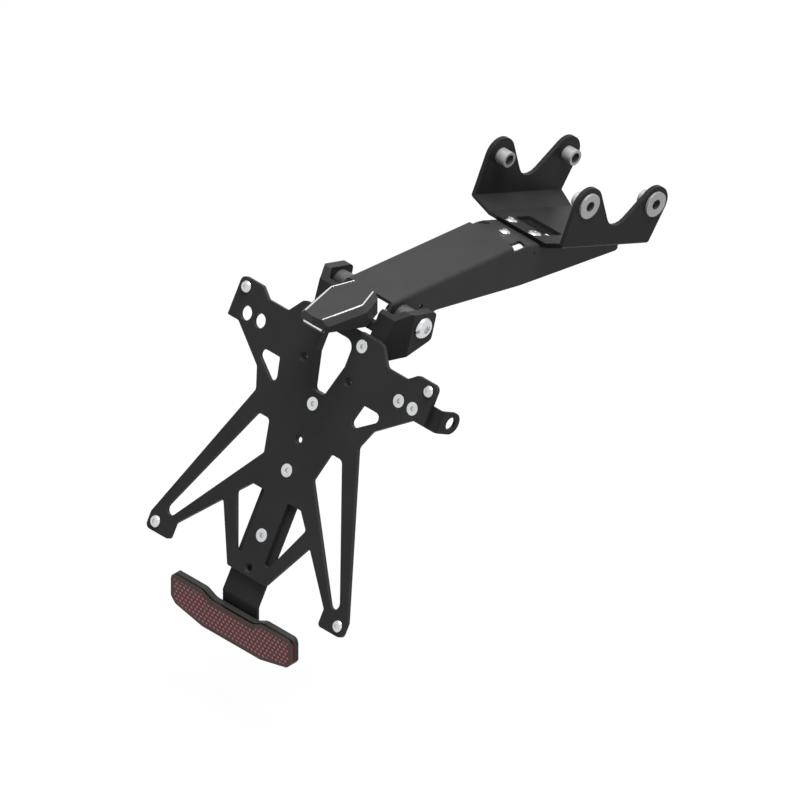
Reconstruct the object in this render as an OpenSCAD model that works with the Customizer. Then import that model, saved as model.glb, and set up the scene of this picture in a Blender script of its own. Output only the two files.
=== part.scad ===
// Tail tidy: a bracket for the subframe, a folded arm, and a number plate holder that
// tilts on the end of the arm, with a plate lamp, a red reflector and an indicator tab.
// X points right, Y to the front of the bike and Z up. The origin is the middle of the
// axis through the two rear subframe bores.

/* [Subframe bracket] */
// Thickness of the bracket's sheet
bracket_t = 3; // [2:0.5:4]
// Width over the two walls
bracket_w = 80; // [72:1:100]
// How far the front bores lie ahead of the rear ones
mount_run = 57.9; // [50:0.1:70]
// How far the front bores lie below the rear ones
mount_drop = 27.4; // [24:0.1:31]
// Slope of the base, down towards the front
base_slope = 23.8; // [21:0.2:26]
// Width of the flat part of the base
base_flat_w = 49.5; // [42:0.5:54]
// Angle of the facets between the base and the walls
facet_angle = 24; // [15:1:30]
// How far the base's rear edge lies behind the rear bores
base_back = 23.1; // [18:0.1:28]
// How far the base's rear edge lies below the rear bores
base_below = 24.8; // [20:0.1:30]
// Lean of the walls' rear edge from the vertical
rear_lean = 26.5; // [20:0.5:32]
// Lean of the walls' front edge from the vertical
front_lean = 37.8; // [32:0.2:44]
// Radius of the ears round the rear bores
rear_ear_r = 11.8; // [10.5:0.1:14]
// Radius of the ears round the front bores
front_ear_r = 11.6; // [10.5:0.1:14]
// Radius of the valley between the ears
valley_r = 11.4; // [6:0.1:14]
// Outer radius of the bends
bracket_bend_r = 2.2; // [1:0.1:3]
// Length of the window in the base
window_len = 15.5; // [8:0.5:20]
// Width of the window in the base
window_w = 29; // [16:1:34]
// Distance of the window from the base's rear edge
window_back = 13; // [11:0.5:18]

/* [Bushings] */
// Bore of a bushing
bushing_bore = 6.5; // [5:0.1:8]
// Outer diameter of a bushing's tube
bushing_d = 10.3; // [9.5:0.1:12]
// Diameter of a bushing's flange
bushing_flange_d = 16.7; // [14:0.1:20]
// Thickness of a bushing's flange
bushing_flange_t = 1.5; // [1:0.1:3]
// How far a bushing stands inwards of its wall
bushing_reach = 7.5; // [5:0.5:16]

/* [Arm] */
// Thickness of the arm's sheet
arm_t = 2; // [1.5:0.5:3]
// Width over the arm's side walls
arm_w = 41.2; // [36:0.2:44]
// Outer radius of the arm's long bends
arm_bend_r = 3; // [2.5:0.1:4]
// Fall of the rear part of the arm, towards the front
arm_pitch = 6; // [4:0.5:9]
// How far the cross bend lies behind the rear bores
kink_back = 44; // [38:0.5:50]
// How far the arm's front end lies ahead of the rear bores
arm_front = 45.4; // [40:0.2:48]
// Length of the relief cut at each end of the cross bend
relief_len = 12; // [8:0.5:14]
// Width of the relief cut, from the side wall's outer face
relief_w = 4.6; // [3:0.1:6]
// Depth of the relief cut in the side wall
relief_drop = 4; // [3:0.1:5]
// How far the relief cut runs further inwards at its front end
relief_slant = 4.5; // [2:0.5:6]

/* [Hinge] */
// How far the hinge axis lies behind the rear bores
pivot_back = 145.6; // [135:0.1:155]
// How far the hinge axis lies below the rear bores
pivot_below = 20.3; // [17:0.1:24]
// Radius of the arm's eyes round the hinge axis
eye_r = 13; // [11:0.1:15]
// Diameter of the hinge bolts' shank
pivot_d = 8; // [6:0.5:8]
// Outer diameter of the spacers on the bolts
spacer_d = 14.8; // [12.5:0.1:18]
// Diameter of the hinge bolts' head
pivot_head_d = 14; // [12:0.1:18]
// Height of the hinge bolts' head
pivot_head_h = 4; // [3:0.1:6]
// Width over the hinge bracket's two arms
hinge_w = 79.4; // [74:0.2:90]
// Thickness of each of these arms
hinge_arm_t = 6.3; // [5:0.1:8]
// Forward tip of the hinge bracket, down from the level
hinge_pitch = 16.3; // [14:0.1:18]
// Height of the hinge bracket's top over the axis, at its front
hinge_top = 9.2; // [8.5:0.1:12]
// Height of the ridge across the bracket's top, over the axis
ridge_top = 10.4; // [9.5:0.1:13]
// Distance of that ridge behind the axis
ridge_back = 11.7; // [10.5:0.1:13]
// Slope of the top behind the ridge
rear_slope = 32.6; // [28:0.2:36]
// Reach of the hinge bracket's arms ahead of the axis
hinge_front = 10.6; // [9:0.1:14]
// Straight length of the arms behind the axis, before they turn inwards
hinge_straight = 9.7; // [8.8:0.1:11]
// Angle by which the arms turn inwards there
hinge_turn = 33.4; // [30:0.2:38]
// Depth of the web's rear face behind the holder's front face, over its top edge
web_deep = 4.6; // [3.5:0.1:5]
// Depth of the arms' front end below the axis
hinge_chin = 10; // [8.5:0.1:12]
// Rise of the arms' lower edge towards the front
hinge_taper = 22.6; // [18:0.1:26]
// Thickness of the flange behind the holder
flange_t = 3.9; // [3.9:0.1:5]

/* [Number plate holder] */
// Thickness of the holder
plate_t = 3; // [2:0.1:3]
// Lean of the holder from the vertical
plate_tilt = 30; // [27:0.5:32]
// Height of the hinge axis over the centre of the four plate screws, along the holder
pivot_above = 107; // [106:0.1:109]
// Distance of the hinge axis behind the holder's front face
pivot_behind = 25.2; // [24.8:0.1:27]
// Distance between the number plate's screws, along the holder's height
plate_pitch = 160; // [158:1:162]
// Width over the upper corners
plate_w = 172; // [170:1:176]
// Distance of the number plate's screws from the holder's side edges
corner_edge = 6; // [5:0.5:7]
// Height of the top edge over the centre
plate_top = 91.5; // [90:0.5:92]
// Depth of the bottom edge of the middle web
plate_bottom = 81.1; // [80:0.1:86]
// Half width of the slot in the middle
slot_half = 12.9; // [10:0.1:14]
// Half width of the web between the lower windows
web_half = 10; // [8:0.5:12]

/* [Reflector and its strip] */
// Width of the strip
strip_w = 30; // [24:1:34]
// Thickness of the strip
strip_t = 2; // [1.5:0.1:3]
// Distance of the strip's vertical end ahead of the holder's centre line, negative is behind
strip_end_y = -45.75; // [-48:0.25:-42]
// Depth of the strip's lower end below the holder's centre
strip_end_z = -108.5; // [-110:0.5:-104]
// Width of the reflector
reflector_w = 106; // [96:1:120]
// Height of the reflector
reflector_h = 27; // [24:0.5:32]
// Depth of the reflector's top edge below the holder's centre
reflector_top = 88.2; // [86:0.2:92]
// Depth of the reflector's housing, front to back
housing_t = 4; // [3:0.1:6]
// Thickness of the reflector's lens
lens_t = 1.8; // [1.2:0.1:3]
// Width of the groove between the lens and the housing
lens_gap = 0.5; // [0.3:0.1:1]
// Length of the boss between the housing and the strip
boss_len = 1.45; // [1:0.05:3]

/* [Indicator tab] */
// Width of the tab
tab_w = 14.5; // [13:0.5:18]
// Thickness of the tab
tab_t = 2; // [1.5:0.1:3]
// How far the tab's outer face stands past the holder's side edge
tab_out = 8; // [4:0.5:12]
// Length of the tab behind the holder
tab_len = 20; // [18:0.5:24]
// Diameter of the indicator's hole
tab_hole_d = 8.5; // [6:0.5:10]

/* [Plate lamp] */
// Length of the lamp
lamp_len = 46.5; // [42:0.5:48]
// Half width of the lamp's top where it is widest
lamp_half = 14.3; // [12:0.1:15]
// Width of the sloping edge along the lamp's sides
lamp_edge = 3.6; // [2:0.1:4]
// Height of the lamp's top over the hinge axis
lamp_top = 17.7; // [16:0.1:19]
// Height of the lamp at its rear seat
lamp_seat_h = 13.8; // [12:0.1:15]
// Height of the lamp's front face
lamp_nose_h = 7.5; // [6:0.1:9]
// Thickness of the lamp's lens that shows
lamp_lens_t = 1.4; // [1:0.1:2]
// Distance between the lamp's rear end and the hinge axis
lamp_rear = 10.8; // [10.4:0.1:12]

/* [Fasteners] */
// Shank diameter of the countersunk screws
flat_d = 5; // [4:0.5:5]
// Head diameter of the countersunk screws
flat_head_d = 8.8; // [8:0.1:9.2]
// Shank diameter of the button head screws
button_d = 4; // [3:0.5:5]
// Head diameter of the button head screws
button_head_d = 7.6; // [6.5:0.1:8.5]
// Head height of the button head screws
button_head_h = 2.2; // [1.6:0.1:2.8]
// Gap between a screw and its hole, across the diameter
hole_gap = 0.3; // [0.2:0.05:0.6]
// Gap between a hinge bolt and its bore, across the diameter
running_gap = 0.1; // [0.06:0.02:0.16]
// Gap between faces that turn against each other
face_gap = 0.1; // [0.05:0.05:0.3]

/* [Hidden] */
$fn = 48;

// Long enough to cut through anything here, and the overlap of joined shapes
far = 200;
bite = 0.01;
arc_steps = 6;

black = "#333333";
dark_grey = "#4b4b4b";
steel = "#c9ccd0";
aluminium = "#8f9296";
lens_red = "#9c1c26";
clear = "#d8dde0";

// Round corners by formula: each point of an outline is [x, y, radius]
function unit(v) = v / norm(v);
function xy(p) = [p[0], p[1]];
function turn(a) = a > 180 ? a - 360 : (a < -180 ? a + 360 : a);
function dir(a) = [cos(a), sin(a)];
function arc(c, r, a0, a1) =
    [for (i = [0:2 * arc_steps]) c + r * dir(a0 + (a1 - a0) * i / (2 * arc_steps))];
function fillet(p, q, s, r) =
    let (
        a = unit(p - q),
        b = unit(s - q),
        half = acos(a * b) / 2,
        c = q + unit(a + b) * r / sin(half),
        from = q + a * r / tan(half) - c,
        to = q + b * r / tan(half) - c,
        a0 = atan2(from[1], from[0]),
        sweep = turn(atan2(to[1], to[0]) - a0)
    )
    [for (i = [0:arc_steps]) c + r * dir(a0 + sweep * i / arc_steps)];
function rounded(pts) =
    let (n = len(pts))
    [
        for (i = [0:n - 1])
        each (
            pts[i][2] > 0
                ? fillet(xy(pts[(i + n - 1) % n]), xy(pts[i]), xy(pts[(i + 1) % n]), pts[i][2])
                : [xy(pts[i])]
        )
    ];
function both(half) =
    concat(half, [for (i = [len(half) - 1:-1:0]) [-half[i][0], half[i][1], half[i][2]]]);
// The point where the line through p along d meets the line through q along e
function meet(p, d, q, e) = p + d * cross(q - p, e) / cross(d, e);

// Places that more than one piece depends on
pivot = [0, -pivot_back, -pivot_below];
wall_x = bracket_w / 2 - bracket_t;
base_rear = [0, -base_back, -base_below];
along = dir(-base_slope);
square_to = dir(90 - base_slope);
under_base = [-base_back, -base_below] - square_to * bracket_t;
kink = concat([0], meet(under_base, along, [-kink_back, 0], [0, 1]));
spacer_len = hinge_w / 2 - hinge_arm_t - arm_w / 2 - face_gap;
plate_half = plate_pitch / 2;
plate_x = plate_w / 2;
corner_x = plate_x - corner_edge;
flat_sink = (flat_head_d - flat_d) / 2;
slot_top = 83.9;
hinge_screw_x = 19.5;
hinge_screw_v = 83.8;
low_screw_v = 36;
spare_v = 59.5;
strip_screw_v = [-9.5, -53.7];
tab_screw_u = [plate_x - 25, plate_x - 13];
tab_inner = plate_x - 31.5;
tab_face = plate_x + tab_out;
tab_v = 65.2;
lamp_end = pivot[1] - lamp_rear;
lamp_z = pivot[2] + lamp_top;
lamp_nose = lamp_end - lamp_len;
lamp_seat = lamp_z - lamp_seat_h;
lamp_slope_end = lamp_end - 18.5;
nose_half = 8;
tail_half = 8.9;
nose_y = lamp_nose + 1.4;
waist_y = lamp_end - 16;
tail_y = lamp_end - 1.4;
lamp_screw_d = 3;
lens_sink = 0.95;
lamp_lens_len = 21.2;
lamp_screw_x = 6;
lamp_screw_y = pivot[1] - 22;
crossbar_t = 4.5;
nut_t = 4;
pivot_nut_t = 6.5;
arm_screw_u = 11;
boss_d = 14;
housing_back = strip_end_y - boss_len;
housing_front = housing_back - housing_t;
stud_z = -100.5;
bracket_screw_x = 10.4;
bracket_screw_u = 5.2;

// Frames: the sloping base, the holder's front face and the hinge bracket
module on_base(x, u) {
    translate(base_rear) rotate([-base_slope, 0, 0]) translate([x, u, 0]) children();
}
module on_arm(back) {
    translate(kink) rotate([-base_slope, 0, 0]) translate([0, back, 0]) children();
}
module on_holder() {
    translate(pivot)
        rotate([90 - plate_tilt, 0, 0])
        translate([0, -pivot_above, pivot_behind])
        children();
}
module on_hinge() {
    translate(pivot) rotate([-hinge_pitch, 0, 0]) children();
}
// A side view, drawn as Y and Z, made w wide about the middle
module side_view(w) {
    translate([-w / 2, 0, 0]) rotate([90, 0, 90]) linear_extrude(w) children();
}
// A cross-section, drawn as X and Z, drawn out towards the rear
module drawn_back(len) {
    rotate([90, 0, 0]) linear_extrude(len) children();
}
module both_sides() {
    children();
    mirror([1, 0, 0]) children();
}
module along_x(x0, x1, d) {
    translate([x0, 0, 0]) rotate([0, 90, 0]) cylinder(d = d, h = x1 - x0);
}
// The holder's centre, on its front face, seen from the side
function holder_at(v, deep) =
    [-pivot_back, -pivot_below]
    + (v - pivot_above) * dir(90 - plate_tilt)
    + (deep - pivot_behind) * dir(-plate_tilt);

// Fasteners, with the head's seat at z = 0 and the shank down
module hex_socket(key, deep) {
    translate([0, 0, -deep]) cylinder(d = key / cos(30), h = deep + far, $fn = 6);
}
module button_screw(d, head_d, head_h, key, len) {
    difference() {
        union() {
            rotate_extrude()
                polygon(concat([[0, 0]], [for (a = [0:15:90]) [head_d / 2 * cos(a), head_h * sin(a)]]));
            translate([0, 0, -len]) cylinder(d = d, h = len + head_h / 4);
        }
        translate([0, 0, head_h]) hex_socket(key, head_h * 0.6);
    }
}
// The countersunk screw's face is at z = 0
module flat_screw(d, head_d, key, len) {
    sink = (head_d - d) / 2;
    difference() {
        union() {
            translate([0, 0, -sink]) cylinder(d1 = d, d2 = head_d, h = sink);
            translate([0, 0, -len]) cylinder(d = d, h = len - sink / 2);
        }
        hex_socket(key, sink * 0.9);
    }
}
module flat_hole(d, head_d) {
    sink = (head_d - d) / 2;
    translate([0, 0, -far / 2]) cylinder(d = d + hole_gap, h = far);
    translate([0, 0, -sink - hole_gap / 2])
        cylinder(d1 = d, d2 = head_d + hole_gap + 2 * bite, h = sink + hole_gap / 2 + bite);
}
module hex_nut(d, across, h) {
    difference() {
        cylinder(d = across / cos(30), h = h, $fn = 6);
        translate([0, 0, -bite]) cylinder(d = d + running_gap, h = h + 2 * bite);
    }
}

// Subframe bracket: one folded sheet, cut to the outline of its side view
function wall_outline() =
    let (
        front = [mount_run, -mount_drop],
        rear_down = rear_ear_r * dir(180 - rear_lean),
        rear_foot = meet(rear_down, dir(90 - rear_lean), [-base_back, 0], [0, 1]),
        ear_side = 13.3,
        ear_rise = 25.2,
        valley = meet(
            rear_ear_r * dir(ear_side), dir(ear_side - 90),
            front + front_ear_r * dir(90 + ear_rise), dir(ear_rise)
        ),
        tip = front + front_ear_r * dir(-front_lean),
        rear_arc = arc([0, 0], rear_ear_r, 180 - rear_lean, ear_side),
        front_arc = arc(front, front_ear_r, 90 + ear_rise, -front_lean)
    )
    concat(
        [[rear_foot[0] + 2, rear_foot[1] - 30, 0], [rear_foot[0], rear_foot[1], 0.6]],
        [for (p = rear_arc) [p[0], p[1], 0]],
        [[valley[0], valley[1], valley_r]],
        [for (p = front_arc) [p[0], p[1], 0]],
        [[tip[0] - 60 * sin(front_lean), tip[1] - 60 * cos(front_lean), 0]]
    );
function bracket_section() =
    let (
        flat = base_flat_w / 2,
        rise = (wall_x - flat) * tan(facet_angle),
        under = flat + bracket_t * tan(facet_angle / 2),
        drop = (bracket_w / 2 - under) * tan(facet_angle) - bracket_t
    )
    both([
        [flat, 0, 1], [wall_x, rise, 0.8], [wall_x, far, 0],
        [bracket_w / 2, far, 0], [bracket_w / 2, drop, bracket_bend_r], [under, -bracket_t, 2]
    ]);
module bracket_sheet() {
    // The section closes over the middle, so the two halves are drawn as one ring
    half = bracket_section();
    inner = [for (i = [0:2]) half[i]];
    outer = [for (i = [3:5]) half[i]];
    ring = concat(
        [for (i = [2:-1:0]) [-inner[i][0], inner[i][1], inner[i][2]]], inner,
        outer, [for (i = [2:-1:0]) [-outer[i][0], outer[i][1], outer[i][2]]]
    );
    polygon(rounded(ring));
}
module base_window() {
    linear_extrude(far, center = true)
        polygon(rounded(both([
            [window_w / 2, window_back, 3], [window_w / 2, window_back + window_len, 3]
        ])));
}
module subframe_bracket() {
    color(dark_grey)
    difference() {
        intersection() {
            on_base(0, far / 2) drawn_back(far) bracket_sheet();
            side_view(bracket_w + 2) polygon(rounded(wall_outline()));
        }
        along_x(-far, far, bushing_d + hole_gap / 2);
        translate([0, mount_run, -mount_drop]) along_x(-far, far, bushing_d + hole_gap / 2);
        on_base(0, 0) base_window();
        both_sides()
            on_base(bracket_screw_x, bracket_screw_u)
            translate([0, 0, -far / 2])
            cylinder(d = flat_d + hole_gap, h = far);
    }
}

// Bushings: a tube with a flange on the wall's outer face
module bushing() {
    outside = bracket_w / 2;
    difference() {
        union() {
            along_x(outside, outside + bushing_flange_t, bushing_flange_d);
            along_x(wall_x - bushing_reach, outside + bushing_flange_t / 2, bushing_d);
        }
        along_x(0, far, bushing_bore);
    }
}
module bushing_rear_right() { color(aluminium) bushing(); }
module bushing_rear_left() { color(aluminium) mirror([1, 0, 0]) bushing(); }
module bushing_front_right() {
    color(aluminium) translate([0, mount_run, -mount_drop]) bushing();
}
module bushing_front_left() {
    color(aluminium) translate([0, mount_run, -mount_drop]) mirror([1, 0, 0]) bushing();
}

// Arm: one sheet folded down at both sides and bent once across
function on_arm_top(y, pitch) = kink[2] - (y - kink[1]) * tan(pitch);
function arm_outline() =
    let (
        axis = [-pivot_back, -pivot_below],
        rear = axis[0] - 7,
        knee = [axis[0] + 31, axis[1] - eye_r + 1.65, 0],
        low = [-base_back - 17.8, -base_below - 25, 0],
        toe = [arm_front - 0.8, -base_below - 40.7, 2],
        eye = arc(axis, eye_r, 146, 275)
    )
    concat(
        [[rear, on_arm_top(rear, arm_pitch), 0], [rear, axis[1] + 12, 0.5]],
        [for (p = eye) [p[0], p[1], 0]],
        [knee, low, toe, [arm_front, on_arm_top(arm_front, base_slope), 0], [kink[1], kink[2], 0]]
    );
// The room between the side walls, open at the bottom and at both ends
function arm_room() =
    let (
        bend = [kink[1], kink[2]],
        rear_dir = dir(-arm_pitch),
        front_dir = dir(-base_slope),
        inside = meet(
            bend - arm_t * dir(90 - arm_pitch), rear_dir,
            bend - arm_t * dir(90 - base_slope), front_dir
        ),
        rear = inside - far * rear_dir,
        front = inside + far * front_dir
    )
    [rear, inside, front, front - [0, far], rear - [0, far]];
// What the two long bends take off a square edge
module long_bends() {
    start = 0.03;
    across = arm_w / 2 - arm_bend_r + start;
    down = -arm_bend_r + start;
    both_sides()
        drawn_back(far)
        polygon(concat(
            arc([across, down], arm_bend_r, 90, 0),
            [[arm_w / 2 + 1, down], [arm_w / 2 + 1, 1], [across, 1]]
        ));
}
module arm() {
    arm_hole = flat_d + hole_gap;
    relief_back = 1.9;
    relief_x = arm_w / 2 - relief_w;
    relief_out = arm_w / 2 - arm_t + 0.6;
    color(dark_grey)
    difference() {
        side_view(arm_w) polygon(rounded(arm_outline()));
        side_view(arm_w - 2 * arm_t) polygon(arm_room());
        translate(kink) rotate([-arm_pitch, 0, 0]) long_bends();
        on_arm(far) long_bends();
        // Relief cuts at both ends of the cross bend, down into the side walls
        both_sides() {
            translate(kink)
                rotate([-arm_pitch, 0, 0])
                translate([relief_x, -relief_back, -relief_drop])
                cube([relief_w + 1, relief_len, far]);
            on_arm(0)
                translate([0, 0, -arm_t - arm_bend_r / 2])
                linear_extrude(far)
                polygon(rounded([
                    [relief_out, 0.5, 0], [relief_x, 0.5, 0],
                    [relief_x - relief_slant, relief_len + 1.5, 1.5],
                    [relief_out, relief_len - relief_back - 0.6, 0]
                ]));
        }
        translate(pivot) along_x(-far, far, pivot_d + hole_gap);
        on_base(0, 0) base_window();
        both_sides()
            on_base(bracket_screw_x, bracket_screw_u)
            translate([0, 0, -far / 2])
            cylinder(d = arm_hole, h = far);
        on_arm(arm_screw_u) translate([0, 0, -far / 4]) cylinder(d = button_d + hole_gap, h = far / 2);
        // A cable hole near the eyes and a small vent hole near the bracket
        translate([0, pivot[1] + 17.7, pivot[2] - 2.1]) along_x(-far, far, 3);
        translate([0, -28.4, -31.9]) along_x(-far, far, 1.5);
    }
}

module bracket_screws() {
    color(steel)
    both_sides()
        on_base(bracket_screw_x, bracket_screw_u)
        button_screw(flat_d, flat_head_d, 1.6, 3, bracket_t + arm_t + nut_t + 0.5);
}
module bracket_nuts() {
    color(steel)
    both_sides()
        on_base(bracket_screw_x, bracket_screw_u)
        translate([0, 0, -bracket_t - arm_t - nut_t])
        hex_nut(flat_d, 8, nut_t);
}
module arm_screw() {
    color(steel)
    on_arm(arm_screw_u)
        button_screw(button_d, button_head_d, button_head_h, 2.5, arm_t + nut_t - 0.4);
}
module arm_nut() {
    color(steel) on_arm(arm_screw_u) translate([0, 0, -arm_t - 3.2]) hex_nut(button_d, 7, 3.2);
}

// Hinge bolts, one each side: head, hinge bracket, spacer, arm wall, nut
module pivot_bolt() {
    seat = hinge_w / 2 + face_gap;
    translate(pivot + [seat, 0, 0])
        rotate([0, 90, 0])
        button_screw(pivot_d, pivot_head_d, pivot_head_h, 5, seat - arm_w / 2 + arm_t + pivot_nut_t + 1);
}
module spacer() {
    translate(pivot)
    difference() {
        along_x(arm_w / 2, arm_w / 2 + spacer_len, spacer_d);
        along_x(0, far, pivot_d + running_gap);
    }
}
module pivot_bolt_right() { color(steel) pivot_bolt(); }
module pivot_bolt_left() { color(steel) mirror([1, 0, 0]) pivot_bolt(); }
module spacer_right() { color(aluminium) spacer(); }
module spacer_left() { color(aluminium) mirror([1, 0, 0]) spacer(); }
module pivot_nuts() {
    color(steel)
    both_sides()
        translate(pivot + [arm_w / 2 - arm_t - pivot_nut_t, 0, 0])
        rotate([0, 90, 0])
        hex_nut(pivot_d, 13, pivot_nut_t);
}

// Hinge bracket: a fork round the arm's eyes, milled in one with the flange
// that the holder is screwed to and the bar that the lamp sits on
function fork_arm_plan() =
    let (
        x = hinge_w / 2,
        inner = x - hinge_arm_t,
        reach = 25
    )
    [
        [x, hinge_front + 1, 0], [x, -hinge_straight, 1.5],
        [x - reach * tan(hinge_turn), -hinge_straight - reach, 0],
        [inner - reach * tan(hinge_turn + 7), -hinge_straight - 0.8 - reach, 0],
        [inner, -hinge_straight - 0.8, 3], [inner, hinge_front + 1, 0]
    ];
function fork_side() =
    let (
        behind = ridge_back + 24,
        heel = hinge_chin + (hinge_front + behind) * tan(hinge_taper)
    )
    [
        [hinge_front, hinge_top, 3.5], [-ridge_back, ridge_top, 0.4],
        [-behind, ridge_top - (behind - ridge_back) * tan(rear_slope), 0],
        [-behind, -heel, 0], [hinge_front, -hinge_chin, 3.5]
    ];
// The web between the fork's arms, in the plane of the holder
function web_outline() = both([
    [33.5, plate_top + 21, 0], [33.5, plate_top + 18, 0], [28.5, 79, 0], [25, 74, 0]
]);
function flange_outline() = both([
    [29.5, plate_top - 0.4, 1], [28.3, 77, 2], [26.5, 67, 3], [26.5, 52, 6], [11.5, 30, 4]
]);
function slot_outline() = both([[slot_half, slot_top, 6.5], [slot_half, 67, 4], [5.9, 43.9, 3.5]]);
function open_slot_outline() =
    both([[slot_half, plate_top + 3, 0], [slot_half, 67, 4], [5.9, 43.9, 3.5]]);
module flange_plate(thick) {
    translate([0, 0, -plate_t - thick]) linear_extrude(thick) children();
}
module hinge_fork() {
    intersection() {
        union() {
            on_hinge()
                both_sides()
                translate([0, 0, -60])
                linear_extrude(100)
                polygon(rounded(fork_arm_plan()));
            on_holder() flange_plate(flange_t) polygon(web_outline_points());
        }
        on_hinge() side_view(hinge_w + 2) polygon(rounded(fork_side()));
    }
}
function web_outline_points() = [for (p = web_outline()) xy(p)];
module hinge_bracket() {
    lamp_room = 19;
    bar_front = pivot[1] - 18.5;
    bar_rear = pivot[1] - 25.3;
    color(black)
    difference() {
        union() {
            // The fork, with room for the lamp between the two halves of its web
            difference() {
                hinge_fork();
                on_hinge() translate([-lamp_room, -far, -far / 2]) cube([2 * lamp_room, far, far]);
            }
            // The flange behind the holder, and the bar under the lamp's tail
            on_holder() flange_plate(flange_t) polygon(rounded(flange_outline()));
            translate([-lamp_room - 1, bar_rear, lamp_seat - crossbar_t])
                cube([2 * lamp_room + 2, bar_front - bar_rear, crossbar_t]);
        }
        // Clear of the holder, and of the open slot
        on_holder() {
            translate([-far / 2, -far, -plate_t]) cube([far, far + plate_top + 0.4, far]);
            translate([-far / 2, plate_top + 0.4, -web_deep]) cube([far, far, far]);
            translate([0, 0, -1]) flange_plate(flange_t) polygon(rounded(open_slot_outline()));
            translate([0, 0, 1]) flange_plate(flange_t) polygon(rounded(open_slot_outline()));
        }
        translate(pivot) along_x(-far, far, pivot_d + running_gap);
        on_holder() {
            translate([0, low_screw_v, -far / 4]) cylinder(d = flat_d + running_gap, h = far / 4);
            both_sides()
                for (v = [hinge_screw_v, spare_v])
                translate([hinge_screw_x, v, -12])
                cylinder(d = flat_d + running_gap, h = 12);
        }
        both_sides()
            translate([lamp_screw_x, lamp_screw_y, lamp_seat - far / 2])
            cylinder(d = lamp_screw_d + hole_gap, h = far);
    }
}

// Number plate holder: one flat plate with shaped windows, drawn as u across and v up
function holder_outline() =
    let (x = plate_x)
    both([
        [34.5, plate_top, 5], [43.5, 80, 4], [x - 25, 80, 3], [x - 17.5, plate_half + 5.8, 3],
        [x, plate_half + 5.8, 3.8], [x, 58.8, 0.8], [x - 9.5, 58.8, 2], [50.5, 39.4, 4],
        [44.6, 26, 4], [x, -75.3, 3], [x, -plate_half - 6.1, 3.5],
        [x - 20.7, -plate_half - 6.1, 2.5], [x - 20.7, -74.8, 2], [37.8, -45.1, 2],
        [16.4, -plate_bottom, 2]
    ]);
function upper_window() = [[36.3, 51.5, 1.2], [59.4, 51.5, 3.5], [30.2, 30.8, 3.4]];
function leg_window() =
    [[26.7, 13.9, 3], [37, 13.9, 4], [plate_x + 7.3, -104, 4], [21.3, -6.6, 2]];
function web_window() = [
    [web_half, -27.4, 1.5], [21.4, -27.4, 2], [30.7, -37.2, 2],
    [14.4, -70, 1.5], [web_half, -70, 1.5]
];
module holder_sheet() {
    difference() {
        polygon(rounded(holder_outline()));
        polygon(rounded(slot_outline()));
        both_sides() {
            polygon(rounded(upper_window()));
            polygon(rounded(leg_window()));
            polygon(rounded(web_window()));
        }
    }
}
module plate_holder() {
    open_hole_d = 9.5;
    spare_d = 4.5;
    color(black)
    on_holder()
    difference() {
        translate([0, 0, -plate_t]) linear_extrude(plate_t) holder_sheet();
        for (x = [-corner_x, corner_x], v = [-plate_half, plate_half])
            translate([x, v, -plate_t - 1]) cylinder(d = button_d + hole_gap, h = plate_t + 2);
        for (p = concat(
            [[0, low_screw_v], [-hinge_screw_x, hinge_screw_v], [hinge_screw_x, hinge_screw_v]],
            [for (v = strip_screw_v) [0, v]], [for (u = tab_screw_u) [u, tab_v]]
        ))
            translate([p[0], p[1], 0]) flat_hole(flat_d, flat_head_d);
        for (u = tab_screw_u)
            translate([-u, tab_v, -plate_t - 1]) cylinder(d = open_hole_d, h = plate_t + 2);
        for (p = [[-hinge_screw_x, spare_v], [hinge_screw_x, spare_v], [0, 11.5], [0, -76]])
            translate([p[0], p[1], 0]) flat_hole(spare_d - 1, spare_d + 1.6);
    }
}
module hinge_screws() {
    color(steel)
    on_holder() {
        translate([0, low_screw_v, 0]) flat_screw(flat_d, flat_head_d, 3, plate_t + flange_t);
        both_sides()
            translate([hinge_screw_x, hinge_screw_v, 0])
            flat_screw(flat_d, flat_head_d, 3, plate_t + flange_t);
    }
}

// Reflector strip: follows the holder's back, then hangs straight down
function holder_centre() = holder_at(0, 0);
function strip_outline() =
    let (
        o = holder_centre(),
        up = dir(90 - plate_tilt),
        top = -2,
        front_y = o[0] + strip_end_y,
        back_y = front_y + strip_t,
        low = o[1] + strip_end_z,
        front_bend = meet(holder_at(0, plate_t), up, [front_y, 0], [0, 1]),
        back_bend = meet(holder_at(0, plate_t + strip_t), up, [back_y, 0], [0, 1]),
        f = holder_at(top, plate_t),
        b = holder_at(top, plate_t + strip_t)
    )
    [
        [f[0], f[1], 0], [front_bend[0], front_bend[1], 2.5], [front_y, low, 0],
        [back_y, low, 0], [back_bend[0], back_bend[1], 4.5], [b[0], b[1], 0]
    ];
module reflector_strip() {
    color(black)
    difference() {
        side_view(strip_w) polygon(rounded(strip_outline()));
        on_holder()
            for (v = strip_screw_v)
            translate([0, v, -far / 4])
            cylinder(d = flat_d + hole_gap, h = far / 2);
        translate([0, holder_centre()[0] + strip_end_y - 1, holder_centre()[1] + stud_z])
            rotate([-90, 0, 0])
            cylinder(d = flat_d + hole_gap, h = strip_t + 2);
    }
}
module strip_screws() {
    color(steel)
    on_holder()
        for (v = strip_screw_v)
        translate([0, v, 0])
        flat_screw(flat_d, flat_head_d, 3, plate_t + strip_t + nut_t + 0.5);
}
module strip_nuts() {
    color(steel)
    on_holder()
        for (v = strip_screw_v)
        translate([0, v, -plate_t - strip_t - nut_t])
        hex_nut(flat_d, 8, nut_t);
}

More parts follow.
